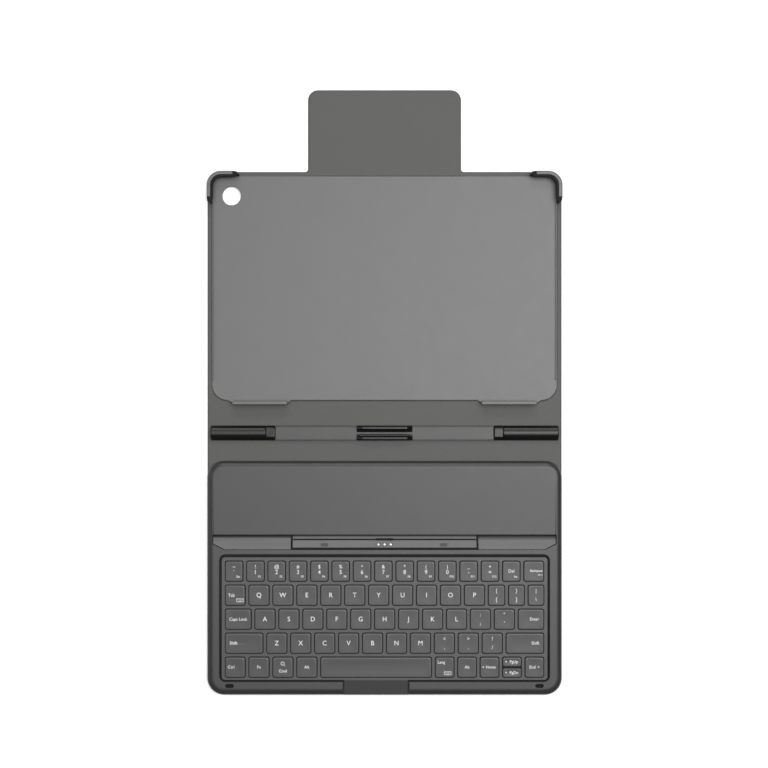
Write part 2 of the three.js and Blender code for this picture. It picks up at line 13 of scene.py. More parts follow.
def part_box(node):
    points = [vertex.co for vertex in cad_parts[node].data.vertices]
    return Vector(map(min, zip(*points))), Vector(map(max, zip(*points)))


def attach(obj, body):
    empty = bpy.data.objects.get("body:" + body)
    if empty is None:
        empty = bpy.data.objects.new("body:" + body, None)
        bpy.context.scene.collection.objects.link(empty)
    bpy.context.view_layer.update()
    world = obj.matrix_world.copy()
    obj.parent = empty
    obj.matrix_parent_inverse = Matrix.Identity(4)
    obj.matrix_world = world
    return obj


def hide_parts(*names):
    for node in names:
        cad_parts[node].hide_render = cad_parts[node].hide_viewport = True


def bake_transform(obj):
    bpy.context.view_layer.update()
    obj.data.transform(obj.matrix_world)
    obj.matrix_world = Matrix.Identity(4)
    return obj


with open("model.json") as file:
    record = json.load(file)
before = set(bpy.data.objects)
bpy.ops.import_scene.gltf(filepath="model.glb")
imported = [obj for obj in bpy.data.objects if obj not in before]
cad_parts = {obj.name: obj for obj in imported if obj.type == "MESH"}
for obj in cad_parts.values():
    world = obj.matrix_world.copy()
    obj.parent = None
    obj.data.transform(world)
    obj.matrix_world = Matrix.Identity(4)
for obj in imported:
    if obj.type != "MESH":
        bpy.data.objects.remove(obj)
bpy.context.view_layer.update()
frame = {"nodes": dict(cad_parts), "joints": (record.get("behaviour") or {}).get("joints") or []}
MM = 0.001


def box_mm(node):
    """A CAD node's box as (x0, y0, z0, x1, y1, z1) in millimetres."""
    low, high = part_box(node)
    return [c / MM for c in low] + [c / MM for c in high]


def joint_named(name):
    return next(j for j in frame["joints"] if j["name"] == name)


def fold_y(name):
    return joint_named(name)["pos_m"][1] / MM


# ------------ outlines
BEZIER_QUARTER = 0.5523  # handle length of a Bezier quarter circle


def rectangle(x0, y0, x1, y1, front=0.0, rear=None):
    rear = front if rear is None else rear
    return [(x0, y0, front), (x1, y0, front), (x1, y1, rear), (x0, y1, rear)]


def inset(corners, distance):
    """The outline (counter-clockwise) with every edge moved inwards, and each corner's radius to suit."""
    count = len(corners)
    result = []
    for i in range(count):
        before, here, after = corners[i - 1], corners[i], corners[(i + 1) % count]
        a = Vector((here[0] - before[0], here[1] - before[1])).normalized()
        b = Vector((after[0] - here[0], after[1] - here[1])).normalized()
        turn = a.x * b.y - a.y * b.x
        along = Vector((-a.y - b.y, a.x + b.x))
        spread = 1 + a.dot(b)
        point = Vector(here[:2]) + along * (distance / max(spread, 0.05))
        radius = here[2] - distance if turn > 0 else here[2] + distance
        result.append((point.x, point.y, max(radius, 0.03)))
    return result


def trace(corners, segments):
    """Points of the outline, with the same count whatever the radii are."""
    points = []
    count = len(corners)
    for i in range(count):
        before, here, after = corners[i - 1], corners[i], corners[(i + 1) % count]
        corner = Vector(here[:2])
        start = corner + (Vector(before[:2]) - corner).normalized() * here[2]
        end = corner + (Vector(after[:2]) - corner).normalized() * here[2]
        a = start.lerp(corner, BEZIER_QUARTER)
        b = end.lerp(corner, BEZIER_QUARTER)
        for k in range(segments + 1):
            t = k / segments
            s = 1 - t
            points.append(start * s ** 3 + a * 3 * s * s * t + b * 3 * s * t * t + end * t ** 3)
    return points


def rounded(low, high, low_round, high_round, steps=4, hold=0.08):
    """(inset, height) levels of a slab from its lower to its upper face, with rounded edges."""
    levels = [(low_round + hold, low)] if low_round else []
    for i in range(steps + 1 if low_round else 1):
        angle = math.pi / 2 * i / steps
        levels.append((low_round * (1 - math.sin(angle)), low + low_round * (1 - math.cos(angle))))
    for i in range(steps + 1 if high_round else 1):
        angle = math.pi / 2 * i / steps
        levels.append((high_round * (1 - math.cos(angle)), high - high_round * (1 - math.sin(angle))))
    if high_round:
        levels.append((high_round + hold, high))
    return levels


def flipped(corners):
    """The outline on the other side of x = 0, still counter-clockwise."""
    return [(-x, y, radius) for x, y, radius in reversed(corners)]


def both_ends(ends, low, high):
    """(inset, place) levels that treat both ends of a bar alike. The ends' places are distances inwards."""
    lower = [(distance, low + place) for distance, place in ends]
    return lower + [(distance, high - place) for distance, place in reversed(ends)]


# ------------ meshes
def new_object(name, mesh):
    obj = bpy.data.objects.new(name, mesh)
    bpy.context.scene.collection.objects.link(obj)
    return obj


def rings_mesh(name, rings):
    """A closed mesh through rings of points in millimetres, with an n-gon at each end."""
    size = len(rings[0])
    verts = [tuple(c * MM for c in p) for ring in rings for p in ring]
    faces = [tuple(reversed(range(size)))]
    for r in range(len(rings) - 1):
        for i in range(size):
            j = (i + 1) % size
            faces.append((r * size + i, r * size + j, (r + 1) * size + j, (r + 1) * size + i))
    faces.append(tuple(range((len(rings) - 1) * size, len(rings) * size)))
    mesh = bpy.data.meshes.new(name)
    mesh.from_pydata(verts, [], faces)
    clean(mesh)
    return new_object(name, mesh)


def clean(mesh):
    """Merges doubled points and turns every face outwards."""
    bm = bmesh.new()
    bm.from_mesh(mesh)
    bmesh.ops.remove_doubles(bm, verts=bm.verts, dist=2e-6)
    bmesh.ops.dissolve_degenerate(bm, edges=bm.edges, dist=1e-6)
    bmesh.ops.recalc_face_normals(bm, faces=bm.faces)
    bm.to_mesh(mesh)
    bm.free()


def slab(name, corners, levels, segments=8):
    """An outline in XY stacked through (inset, z) levels."""
    rings = [[(p.x, p.y, z) for p in trace(inset(corners, d), segments)] for d, z in levels]
    return rings_mesh(name, rings)


def bar(name, section, levels, segments=4, squeeze=None):
    """A section in YZ stacked through (inset, x) levels. squeeze(x) lowers the section towards its base."""
    base = min(c[1] for c in section)
    rings = []
    for d, x in levels:
        k = squeeze(x) if squeeze else 1
        rings.append([(x, p.x, base + (p.y - base) * k) for p in trace(inset(section, d), segments)])
    return rings_mesh(name, rings)


def rail(name, section, levels, segments=3):
    """A section in XZ stacked through (inset, y) levels."""
    rings = [[(p.x, y, p.y) for p in trace(inset(section, d), segments)] for d, y in levels]
    return rings_mesh(name, rings)


def apply_modifiers(obj):
    graph = bpy.context.evaluated_depsgraph_get()
    mesh = bpy.data.meshes.new_from_object(obj.evaluated_get(graph), depsgraph=graph)
    obj.modifiers.clear()
    obj.data = mesh


def boolean(obj, operation, *tools):
    for tool in tools:
        modifier = obj.modifiers.new("cut", "BOOLEAN")
        modifier.operation = operation
        modifier.solver = "EXACT"
        modifier.object = tool
    apply_modifiers(obj)
    for tool in tools:
        bpy.data.objects.remove(tool)
    clean(obj.data)


def mesh_from(name, bm):
    mesh = bpy.data.meshes.new(name)
    bm.to_mesh(mesh)
    bm.free()
    return mesh


def joined(name, parts):
    """One object from several."""
    bm = bmesh.new()
    for part in parts:
        bm.from_mesh(part.data)
    mesh = mesh_from(name, bm)
    for part in parts:
        bpy.data.objects.remove(part)
    return new_object(name, mesh)


def smooth(obj, angle=34, weighted=True):
    """Smooth shading that keeps true corners sharp and flat faces flat."""
    for polygon in obj.data.polygons:
        polygon.use_smooth = True
    obj.data.set_sharp_from_angle(angle=math.radians(angle))
    if weighted:
        modifier = obj.modifiers.new("flat", "WEIGHTED_NORMAL")
        modifier.keep_sharp = True
        apply_modifiers(obj)
    return obj


def mirrored(obj, name):
    """A copy of obj on the other side of the YZ plane."""
    mesh = obj.data.copy()
    mesh.transform(Matrix.Scale(-1, 4, (1, 0, 0)))
    mesh.flip_normals()
    return new_object(name, mesh)


def dress(obj, material, slot, body=None, replaces=()):
    """Gives a piece its material and body, and hides the CAD nodes it stands for. The slot argument is not
    used.
    """
    if not obj.data.materials:
        obj.data.materials.append(material)
    if body:
        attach(obj, body)
    if replaces:
        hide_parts(*replaces)
    return obj


# ------------ materials
FLAT_TO_EDGE = (0.503, 0.53)  # pointiness of a flat face and of a sharp edge
# painted highlight: rounded edges are lightened up to this many times the colour
EDGE_HIGHLIGHT_BRIGHTNESS = 4


class Surface:
    """A Principled material built up from procedural layers in the row frame's coordinates."""

    def __init__(self, name, colour, roughness, metallic=0.0, specular=0.5):
        self.material = bpy.data.materials.new(name)
        self.material.use_nodes = True
        self.nodes = self.material.node_tree.nodes
        self.links = self.material.node_tree.links
        self.shader = self.nodes["Principled BSDF"]
        self.shader.inputs["Metallic"].default_value = metallic
        self.shader.inputs["Specular IOR Level"].default_value = specular
        self.coords = self.nodes.new("ShaderNodeTexCoord").outputs["Object"]
        self.colour = colour
        self.roughness = roughness
        self.height = None

    def noise(self, scale, detail=3.0, stretch=None):
        """Noise with features about 1000 / scale millimetres across."""
        texture = self.nodes.new("ShaderNodeTexNoise")
        texture.inputs["Scale"].default_value = scale
        texture.inputs["Detail"].default_value = detail
        source = self.coords
        if stretch:
            mapping = self.nodes.new("ShaderNodeMapping")
            mapping.inputs["Scale"].default_value = stretch
            self.links.new(self.coords, mapping.inputs["Vector"])
            source = mapping.outputs["Vector"]
        self.links.new(source, texture.inputs["Vector"])
        return texture.outputs["Fac"]

    def cells(self, scale):
        """Pebbles of slightly wandering shape."""
        texture = self.nodes.new("ShaderNodeTexVoronoi")
        texture.feature = "SMOOTH_F1"
        texture.inputs["Scale"].default_value = scale
        texture.inputs["Smoothness"].default_value = 0.6
        warp = self.nodes.new("ShaderNodeTexNoise")
        warp.inputs["Scale"].default_value = scale * 0.6
        mix = self.nodes.new("ShaderNodeMix")
        mix.data_type = "VECTOR"
        mix.inputs["Factor"].default_value = 0.0006
        self.links.new(self.coords, warp.inputs["Vector"])
        self.links.new(self.coords, mix.inputs["A"])
        self.links.new(warp.outputs["Color"], mix.inputs["B"])
        self.links.new(mix.outputs["Result"], texture.inputs["Vector"])
        return texture.outputs["Distance"]

    def ranged(self, value, low, high, start=0.3, stop=0.7):
        """The value moved from start..stop to low..high."""
        node = self.nodes.new("ShaderNodeMapRange")
        node.inputs["From Min"].default_value = start
        node.inputs["From Max"].default_value = stop
        node.inputs["To Min"].default_value = low
        node.inputs["To Max"].default_value = high
        self.links.new(value, node.inputs["Value"])
        return node.outputs["Result"]

    def tint(self, value, spread):
        """Colour that drifts by a share of itself with the value."""
        node = self.nodes.new("ShaderNodeMix")
        node.data_type = "RGBA"
        low = [c * (1 - spread) for c in self.colour] + [1]
        high = [c * (1 + spread) for c in self.colour] + [1]
        node.inputs["A"].default_value = low
        node.inputs["B"].default_value = high
        self.links.new(self.ranged(value, 0, 1), node.inputs["Factor"])
        self.links.new(node.outputs["Result"], self.shader.inputs["Base Color"])
        self.tinted = node

    def paint_edge_highlight(self, amount):
        """Edges a little paler than the faces: a painted highlight along rounded edges."""
        geometry = self.nodes.new("ShaderNodeNewGeometry")
        edge = self.ranged(geometry.outputs["Pointiness"], 0, amount, *FLAT_TO_EDGE)
        node = self.nodes.new("ShaderNodeMix")
        node.data_type = "RGBA"
        node.inputs["B"].default_value = [min(1, c * EDGE_HIGHLIGHT_BRIGHTNESS) for c in self.colour] + [1]
        self.links.new(edge, node.inputs["Factor"])
        self.links.new(self.tinted.outputs["Result"], node.inputs["A"])
        self.links.new(node.outputs["Result"], self.shader.inputs["Base Color"])

    def polish(self, value, spread):
        """Roughness that drifts with the value."""
        drift = self.ranged(value, self.roughness - spread, self.roughness + spread)
        self.links.new(drift, self.shader.inputs["Roughness"])

    def relief(self, value, strength, depth_mm):
        """Bumps from the value, on top of any relief added before."""
        bump = self.nodes.new("ShaderNodeBump")
        bump.inputs["Strength"].default_value = strength
        bump.inputs["Distance"].default_value = depth_mm * MM
        self.links.new(value, bump.inputs["Height"])
        if self.height:
            self.links.new(self.height, bump.inputs["Normal"])
        self.height = bump.outputs["Normal"]
        self.links.new(self.height, self.shader.inputs["Normal"])


def moulded(name, colour, roughness, texture_scale=2600, relief=0.03, edge_highlight=0.0, specular=0.5):
    """Moulded or painted plastic: spark-eroded grain, slight drift of tone and gloss."""
    surface = Surface(name, colour, roughness, specular=specular)
    surface.tint(surface.noise(35), 0.012)
    # painted highlight on the rounded edges
    if edge_highlight:
        surface.paint_edge_highlight(edge_highlight)
    surface.polish(surface.noise(160, 4), 0.012)
    surface.relief(surface.noise(texture_scale, 2), 0.35, relief)
    return surface.material


def leatherette(name, colour, roughness):
    """Coated fabric: fine pebbled grain over a slow mottle."""
    surface = Surface(name, colour, roughness, specular=0.35)
    surface.tint(surface.noise(28, 5), 0.025)
    surface.polish(surface.noise(420, 3), 0.02)
    surface.relief(surface.cells(1500), 0.35, 0.06)
    surface.relief(surface.noise(5200, 2), 0.25, 0.02)
    surface.shader.inputs["Sheen Weight"].default_value = 0.08
    surface.shader.inputs["Sheen Roughness"].default_value = 0.5
    return surface.material


def metal(name, colour, roughness, brushed=None):
    surface = Surface(name, colour, roughness, metallic=1.0)
    surface.tint(surface.noise(90, 3), 0.05)
    surface.polish(surface.noise(900, 3, brushed), 0.07)
    surface.relief(surface.noise(2400, 2, brushed), 0.15, 0.01)
    return surface.material


def soft_rubber(name, colour, roughness):
    surface = Surface(name, colour, roughness, specular=0.15)
    surface.tint(surface.noise(60, 3), 0.12)
    surface.polish(surface.noise(300, 3), 0.05)
    surface.relief(surface.noise(3000, 3), 0.3, 0.02)
    return surface.material


COVER = leatherette("cover_leatherette", (0.061, 0.0605, 0.0585), 0.52)
SHELL = moulded("shell_satin", (0.083, 0.083, 0.083), 0.39, specular=0.45)
DECK = moulded("deck_satin", (0.024, 0.024, 0.024), 0.36, specular=0.40)
PLATE = moulded("key_plate_matt", (0.030, 0.030, 0.030), 0.42)
# the keycaps get a painted highlight on their rounded edges
KEYCAP = moulded("keycap_matt", (0.026, 0.026, 0.0265), 0.38, texture_scale=3400, edge_highlight=0.7, specular=0.45)
DOCK = moulded("dock_satin", (0.082, 0.082, 0.082), 0.36, specular=0.45)
BLACK = moulded("black_semi_gloss", (0.005, 0.005, 0.0055), 0.24, relief=0.005, specular=0.28)
# besides the bumper liner, this dark rubber is painted shade at the bottom of the dock's gaps, slot and
# recess
LINER_AND_GAP_SHADE = soft_rubber("bumper_liner_and_gap_shade", (0.006, 0.006, 0.006), 0.6)
RUBBER = soft_rubber("foot_rubber", (0.004, 0.004, 0.004), 0.7)
STEEL = metal("steel_plain", (0.50, 0.50, 0.50), 0.35, brushed=(1, 12, 1))
GOLD = metal("contact_gold", (0.98, 0.88, 0.66), 0.36)
LACQUER = moulded("circuit_lacquer", (0.02, 0.12, 0.05), 0.35)
# painted shade: the domes are near black so that the gaps round the keys look dark
KEY_GAP_SHADE = moulded("dome_painted_shade", (0.010, 0.010, 0.010), 0.6, specular=0.2)
LEGEND = moulded("legend_print", (0.66, 0.66, 0.66), 0.5, relief=0.005)


# ------------ soft cover
base = box_mm("base_cover")
tongue_end = box_mm("tongue_end_board")
COVER_TOP = 162.5
COVER_LOWER_ROUND, COVER_UPPER_ROUND = 0.6, 1.15
FRONT_CORNER = 17.0
LID_CORNER = 10.5
TONGUE_CORNER = 7.5
TONGUE_ROOT = 2.0
TONGUE_LINE = COVER_TOP + 1.3
STRUT_MIDDLE = 25.0
CAMERA_X, CAMERA_Y, CAMERA_RADIUS = -112.8, 144.6, 6.85
BEND_HALF = 1.7
BEND_ROWS = 12
CREASE_DEPTH = 0.3
CREASE_SKIN = 0.01


def cover_outline():
    half, tongue_half = base[3], tongue_end[3]
    front, end = base[1], tongue_end[4]
    right = [(half, front, FRONT_CORNER), (half, COVER_TOP, LID_CORNER),
             (tongue_half, COVER_TOP, TONGUE_ROOT), (tongue_half, end, TONGUE_CORNER)]
    left = flipped(right)
    return left[-1:] + right + left[:-1]


def round_cutter(x, y, radius, low, high, flare):
    """A cylinder that opens out at both ends, to leave a hole with rounded rims."""
    circle = rectangle(x - radius, y - radius, x + radius, y + radius, radius)
    bow, past = flare * 0.3, 0.5
    levels = [(-flare - past, low - past), (-flare, low), (-bow, low + bow), (0, low + flare),
              (0, high - flare), (-bow, high - bow), (-flare, high), (-flare - past, high + past)]
    return slab("cutter", circle, levels, 12)


def slice_across(bm, y, clear_below=False, clear_above=False):
    """Cuts a mesh through at one Y, clears a side of it if asked, and returns what lies on the cut."""
    geometry = bm.verts[:] + bm.edges[:] + bm.faces[:]
    result = bmesh.ops.bisect_plane(bm, geom=geometry, dist=1e-7, plane_co=(0, y * MM, 0),
                                    plane_no=(0, 1, 0), clear_inner=clear_below, clear_outer=clear_above)
    return result["geom_cut"]


def between(obj, name, y0, y1, rows):
    """The part of a mesh from y0 to y1, closed at its cuts, with extra rows of points where it bends."""
    bm = bmesh.new()
    bm.from_mesh(obj.data)
    for y, clear_below in ((y0, True), (y1, False)):
        if y is None:
            continue
        cut = slice_across(bm, y, clear_below, not clear_below)
        edges = [item for item in cut if isinstance(item, bmesh.types.BMEdge)]
        bmesh.ops.contextual_create(bm, geom=edges)
    for y in rows:
        slice_across(bm, y)
    bmesh.ops.recalc_face_normals(bm, faces=bm.faces)
    return new_object(name, mesh_from(name, bm))


def press_crease(piece, middle):
    """A shallow rounded groove across the outside of the cover, where it folds."""
    for vertex in piece.data.vertices:
        away = abs(vertex.co.y / MM - middle) / BEND_HALF
        if away < 1 and vertex.co.z < CREASE_SKIN * MM:
            vertex.co.z += CREASE_DEPTH * MM * (1 + math.cos(math.pi * away)) / 2


def soft_cover():
    """One skin cut into five pieces, each with a shallow crease and extra rows of points in its middle where
    it would fold.
    """
    top = base[5]
    whole = slab("cover", cover_outline(), rounded(0, top, COVER_LOWER_ROUND, COVER_UPPER_ROUND), 10)
    boolean(whole, "DIFFERENCE", round_cutter(CAMERA_X, CAMERA_Y, CAMERA_RADIUS, 0, top, 0.4))
    spine_middle = (fold_y("spine_fold") + fold_y("strut_fold")) / 2
    wrap_middle = (fold_y("wrap_fold") + fold_y("end_fold")) / 2
    strips = [
        ("cover_base_to_spine", None, spine_middle, "spine_fold", ["base_cover", "spine_board"]),
        ("cover_spine_to_strut", spine_middle, STRUT_MIDDLE, "strut_fold", ["strut_board"]),
        ("cover_strut_to_lid", STRUT_MIDDLE, TONGUE_LINE, "lid_crease", ["lid_board"]),
        ("cover_lid_to_wrap", TONGUE_LINE, wrap_middle, "wrap_fold", ["tongue_wrap_board"]),
        ("cover_wrap_to_end", wrap_middle, None, "end_fold", ["tongue_end_board"]),
    ]
    for name, y0, y1, fold, nodes in strips:
        middle = fold_y(fold)
        rows = [middle - BEND_HALF + 2 * BEND_HALF * i / BEND_ROWS for i in range(BEND_ROWS + 1)]
        piece = between(whole, name, y0, y1, rows)
        press_crease(piece, middle)
        smooth(piece, weighted=False)
        dress(piece, COVER, "cover", replaces=nodes)
        joint = joint_named(fold)
        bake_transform(piece)
    bpy.data.objects.remove(whole)


# ------------ tablet holder
SHELL_TOP_RADIUS = 8.0
SHELL_BOTTOM_RADIUS = 11.8
SHELL_BOTTOM = -6.6
LIP_INNER, LIP_OUTER = 71.0, 111.9
LIP_INNER_SLANT, LIP_OUTER_SLANT = 2.1, 3.7
RIM_FRONT, RIM_REAR = 9.0, 139.0


def tray_outline(x0, tab, x1, top):
    """The tray from above, with a tab for each lip at its front edge."""
    right = [(LIP_INNER - LIP_INNER_SLANT, SHELL_BOTTOM, 0.4), (LIP_INNER, tab, 0.4), (LIP_OUTER, tab, 0.4),
             (LIP_OUTER + LIP_OUTER_SLANT, SHELL_BOTTOM, 0.3)]
    return [(x0, SHELL_BOTTOM, SHELL_BOTTOM_RADIUS)] + flipped(right) + right + [
        (x1, SHELL_BOTTOM, SHELL_BOTTOM_RADIUS), (x1, top, SHELL_TOP_RADIUS), (x0, top, SHELL_TOP_RADIUS)]


def tray_lip(side, tab, z0, z1):
    """The lip that stands up at the end of a tab, under the tablet's lower edge."""
    inner, outer = sorted((side * (LIP_INNER + 0.2), side * (LIP_OUTER - 0.2)))
    outline = rectangle(inner, tab + 0.02, outer, SHELL_BOTTOM, 0.9)
    return slab("lip", outline, rounded(z0 + 0.4, z1, 0, 0.45), 4)


def tray_rim(side, x1, z0):
    """The low rim along one side of the tray, with softened ends."""
    low, high, width = z0 + 0.4, z0 + 2.7, 1.8
    section = [(x1 - width, low, 0.05), (x1 - 0.1, low, 0.05), (x1 - 0.9, high, 0.2),
               (x1 - width, high, 0.3)]
    if side < 0:
        section = flipped(section)
    return rail("rim", section, both_ends([(0.3, 0), (0.1, 0.2), (0, 0.6)], RIM_FRONT, RIM_REAR))


def tablet_shell():
    x0, tab, z0, x1, top, z1 = box_mm("tablet_shell")
    floor_top = 3.5
    steep_edge = [(0.2, z0), (0, z0 + 0.15), (0.65, floor_top - 0.12), (0.85, floor_top)]
    tray = slab("shell_tray", tray_outline(x0, tab, x1, top), steep_edge, 10)
    parts = []
    for side in (-1, 1):
        parts += [tray_lip(side, tab, z0, z1), tray_rim(side, x1, z0)]
    boolean(tray, "UNION", *parts)
    boolean(tray, "DIFFERENCE", round_cutter(CAMERA_X, CAMERA_Y, CAMERA_RADIUS, z0, floor_top, 0.55))
    dress(smooth(tray), SHELL, "shell", "lid", ["tablet_shell"])


def corner_guards():
    """A satin wall round each top corner, lined with a black hook that reaches over the tablet's face."""
    end, low, z0, outer, top, z1 = box_mm("corner_bumper_right")
    wall, hook, tail = 2.6, 4.8, 4.6
    edge = 0.8
    inside = wall + edge - 0.2
    guard = [(outer, low + tail, 0.3), (outer, top, LID_CORNER), (end + tail, top, 0.3),
             (end + tail, top - inside, 0.3), (outer - inside, top - inside, LID_CORNER - inside),
             (outer - inside, low + tail, 0.3)]
    guard_levels = [(0.3, z0), (0, z0 + 0.3), (0, z1 - 0.85), (edge - 0.25, z1 - 0.14), (edge, z1)]
    dark_part = [(outer - wall, low + tail, 0.2), (outer - 0.1, low + tail, 0.3), (outer - 0.5, low + 1.8, 0.5),
             (outer - wall - 0.5, low, 0.6), (outer - hook, low + tail, 1.5),
             (outer - hook, top - hook, 6.4), (end + tail, top - hook, 1.5), (end, top - wall - 0.5, 0.6),
             (end + 1.8, top - 0.5, 0.5), (end + tail, top - 0.1, 0.3), (end + tail, top - wall, 0.2),
             (outer - wall, top - wall, LID_CORNER - wall)]
    dark_part.reverse()
    liner_levels = rounded(z0 + 0.1, z1 - 0.15, 0.2, 0.45)
    seat = rectangle(outer - 60, top - 60, outer - wall, top - wall, 0, LID_CORNER - wall)
    kinds = [("guard", guard, guard_levels, SHELL, "shell"), ("dark_part", dark_part, liner_levels, LINER_AND_GAP_SHADE, "bumper")]
    for kind, outline, levels, material, slot in kinds:
        piece = slab(f"corner_{kind}_right", outline, levels, 20)
        boolean(piece, "DIFFERENCE", slab("cutter", seat, [(0, z0 - 1), (0, z1 - 1.1)], 12))
        twin = mirrored(piece, f"corner_{kind}_left")
        dress(smooth(piece), material, slot, "lid", ["corner_bumper_right"])
        dress(smooth(twin), material, slot, "lid", ["corner_bumper_left"])


# ------------ stylus holder
def stylus_holder():
    x0, front, z0, x1, rear, z1 = box_mm("stylus_channel")
    rim, bed = 0.9, 3.5
    section = [(front, z0, 0.1), (rear, z0, 0.1), (rear, z1, 0.25), (rear - rim, z1, 0.25),
               (rear - rim, bed, 0.15), (front + rim, bed, 0.15), (front + rim, z1, 0.25), (front, z1, 0.25)]
    tray = bar("stylus_tray", section, both_ends([(0.15, 0), (0, 0.15)], x0, x1))
    clip = box_mm("stylus_clip")
    seat = rectangle(clip[0] - 0.3, front - 1, clip[3] + 0.3, rear + 1)
    boolean(tray, "DIFFERENCE", slab("cutter", seat, [(0, bed), (0, z1 + 1)], 1))
    dress(smooth(tray), DECK, "deck", "spine", ["stylus_channel"])
    middle = (front + rear) / 2
    stylus_caps(middle)
    stylus_clip(middle)


def stylus_caps(middle):
    """Two glossy hoods, each an arched shell on a lower square nose."""
    x0, front, z0, x1, rear, z1 = box_mm("stylus_cap_right")
    half = (rear - front) / 2
    straight = 3.3
    arch = []
    steps = 18
    for i in range(steps + 1):
        angle = math.pi * i / steps
        arch.append((middle + half * math.cos(angle), straight + (z1 - straight) * math.sin(angle), 0.03))
    hood = [(front, z0, 0.2), (rear, z0, 0.2)] + arch
    nose_top, bevel, slope = 5.8, 1.6, 2.2
    nose = [(front, z0, 0.2), (rear, z0, 0.2), (rear, nose_top - bevel, 0.8), (rear - slope, nose_top, 0.8),
            (front + slope, nose_top, 0.8), (front, nose_top - bevel, 0.8)]
    start = x0 + 6.3
    hood_levels = both_ends([(0.9, 0), (0.45, 0.12), (0.12, 0.45), (0, 0.9), (0, 1.2)], start, x1)
    nose_levels = [(0.5, x0), (0.15, x0 + 0.15), (0, x0 + 0.5), (0, x0 + 0.7), (0, start - 0.02)]
    parts = [bar("hood", hood, hood_levels, 1), bar("nose", nose, nose_levels, 4)]
    body = smooth(joined("stylus_cap_right", parts))
    twin = mirrored(body, "stylus_cap_left")
    dress(body, BLACK, "black", "spine", ["stylus_cap_right"])
    dress(twin, BLACK, "black", "spine", ["stylus_cap_left"])


def stylus_clip(middle):
    """Two black jaws with a slit between them, highest along the middle and falling away at the ends."""
    x0, front, z0, x1, rear, z1 = box_mm("stylus_clip")
    half = (rear - front) / 2
    slit = 0.6
    barrel = 3.7
    crest_out, crest_in = 4.5, 3.0
    groove = []
    for i in range(1, 7):
        angle = math.radians(10 + 68 * i / 6)
        groove.append((barrel * math.cos(angle), z1 - barrel * math.sin(angle), 0.05))
    jaw = [(slit, z0, 0.1), (half, z0, 0.1), (half, 6.0, 0.5), (crest_out, z1, 0.3), (crest_in, z1, 0.2),
           (crest_in + 0.25, z1 - 0.7, 0.15)] + groove + [(slit, z0 + 0.55, 0.1)]
    ends = 4.6

    def squeeze(x):
        inside = min(x - x0, x1 - x)
        t = min(1, max(0, inside / ends))
        return 0.42 + 0.58 * t * t * (3 - 2 * t)

    stations = [x0, x0 + 0.4] + [x0 + ends * i / 6 for i in range(1, 7)]
    stations += [x1 - ends * i / 6 for i in range(6, 0, -1)] + [x1 - 0.4, x1]
    levels = [(0.25 if x in (x0, x1) else 0.0, x) for x in stations]
    jaws = []
    for side in (-1, 1):
        section = [(middle + side * y, z, radius) for y, z, radius in jaw]
        if side < 0:
            section.reverse()
        jaws.append(bar("jaw", section, levels, 3, squeeze))
    clip = joined("stylus_clip_jaws", jaws)
    dress(smooth(clip), BLACK, "black", "spine", ["stylus_clip"])


# ------------ keyboard housing
DECK_REAR_RADIUS, DECK_FRONT_RADIUS = 12.0, 12.6
BEVEL_WIDTH, BEVEL_HEIGHT = 4.0, 3.2
WELL = {"half": 121.4, "rear": -119.3, "front": -212.9, "radius": 4.5}
NOTCH_LEFT, NOTCH_RIGHT = -29.8, 17.2
GROOVE = {"half": 126.4, "rear": -104.8, "front": -115.9, "chamfer_x": 8.4, "chamfer_y": 4.2}


def groove_outline(distance):
    """The dock's groove in the deck, moved inwards: a rectangle with its two front corners cut off."""
    half, rear, front = GROOVE["half"] - distance, GROOVE["rear"] - distance, GROOVE["front"] + distance
    chamfer_x, chamfer_y = GROOVE["chamfer_x"], GROOVE["chamfer_y"]
    return [(-half + chamfer_x, front, 0.8), (half - chamfer_x, front, 0.8), (half, front + chamfer_y, 0.8),
            (half, rear, 0.5), (-half, rear, 0.5), (-half, front + chamfer_y, 0.8)]


def deck_levels(z0, z1):
    """Side of the deck from below: small lower edge, upright wall, then a long bevel with soft ends."""
    levels = [(0.5, z0), (0.15, z0 + 0.12), (0, z0 + 0.45), (0, z1 - BEVEL_HEIGHT - 0.2)]
    start, end = Vector((0, z1 - BEVEL_HEIGHT)), Vector((BEVEL_WIDTH + 1, z1))
    steep, shallow = Vector((0, z1 - BEVEL_HEIGHT * 0.5)), Vector((BEVEL_WIDTH * 0.55, z1))
    for i in range(17):
        t = i / 16
        s = 1 - t
        point = start * s ** 3 + steep * 3 * s * s * t + shallow * 3 * s * t * t + end * t ** 3
        levels.append((point.x, point.y))
    levels.append((BEVEL_WIDTH + 1.3, z1))
    return levels


def flared(outline, low, top, flare):
    """A cutter whose mouth is rounded where it meets a top face."""
    levels = [(0, low), (0, top - flare)]
    for i in range(1, 4):
        angle = math.pi / 2 * i / 3
        levels.append((-flare * (1 - math.cos(angle)), top - flare * (1 - math.sin(angle))))
    levels.append((-flare, top + 1))
    return slab("cutter", outline, levels, 6)


def deck():
    x0, front, z0, x1, rear, z1 = box_mm("deck_frame")
    outline = rectangle(x0, front, x1, rear, DECK_FRONT_RADIUS, DECK_REAR_RADIUS)
    body = slab("keyboard_deck", outline, deck_levels(z0, z1), 16)
    cutters = [flared(groove_outline(0), z0 - 1, z1, 0.2), well_cutter(z0 - 1, z1), notch_cutter(front, z1),
               foot_pocket("left", z1), foot_pocket("right", z1)]
    boolean(body, "DIFFERENCE", *cutters)
    dress(smooth(body), DECK, "deck", "keyboard", ["deck_frame"])


